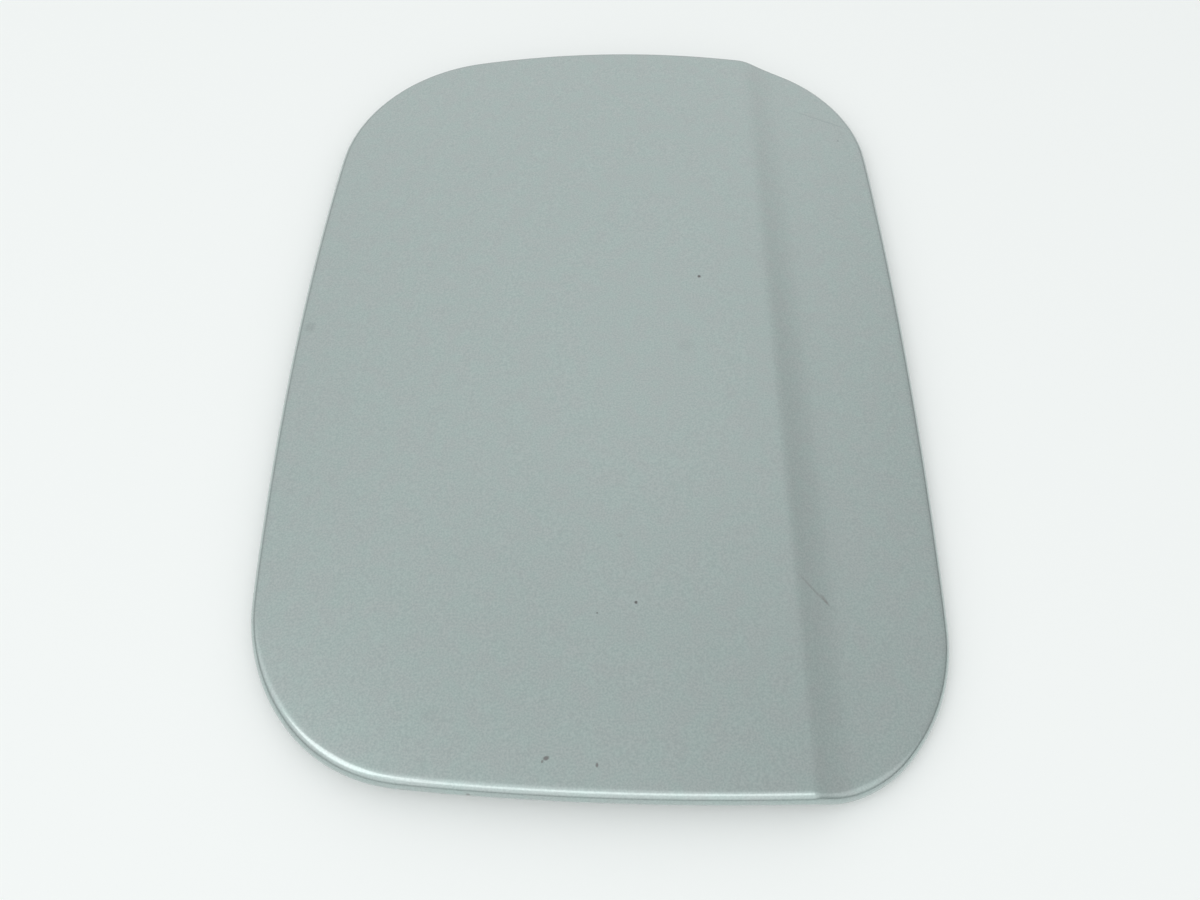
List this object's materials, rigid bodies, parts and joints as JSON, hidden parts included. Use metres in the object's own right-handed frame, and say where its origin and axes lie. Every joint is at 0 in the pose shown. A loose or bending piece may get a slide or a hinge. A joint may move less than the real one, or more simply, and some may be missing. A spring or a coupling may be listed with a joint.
{
  "type": "car fuel door",
  "caption": "Painted car fuel door: hemmed outer skin with a side crease, pressed inner panel, threaded hinge pad, lock bridge, strap hook and rubber buffers.",
  "frame": {"origin": "middle of the outline, on the plane that the four buffers stand on", "axes": "+X across the width towards the crease, +Y along the length towards the hinge end, +Z out of the painted face"},
  "size_m": [0.148, 0.2121, 0.0097],
  "materials": {
    "paint": "pale green-silver metallic paint under clear coat",
    "inner_paint": "thin, duller coat of the same paint over primer",
    "sealer": "sealer bead, painted over",
    "zinc": "zinc-plated steel",
    "rivet": "plain steel rivet",
    "rubber": "matte black rubber",
    "mastic": "grey expanded mastic",
    "nylon": "moulded black nylon"
  },
  "bodies": {
    "root": {"outer_skin": "paint", "inner_panel": "inner_paint", "seam_sealer": "sealer", "tapping_plate": "zinc", "catch_bridge": "zinc", "catch_rivets": "rivet", "buffer_near_left": "rubber", "buffer_near_right": "rubber", "buffer_far_left": "rubber", "buffer_far_right": "rubber", "flutter_pads": "mastic", "cap_hook": "nylon"}
  },
  "joints": []
}
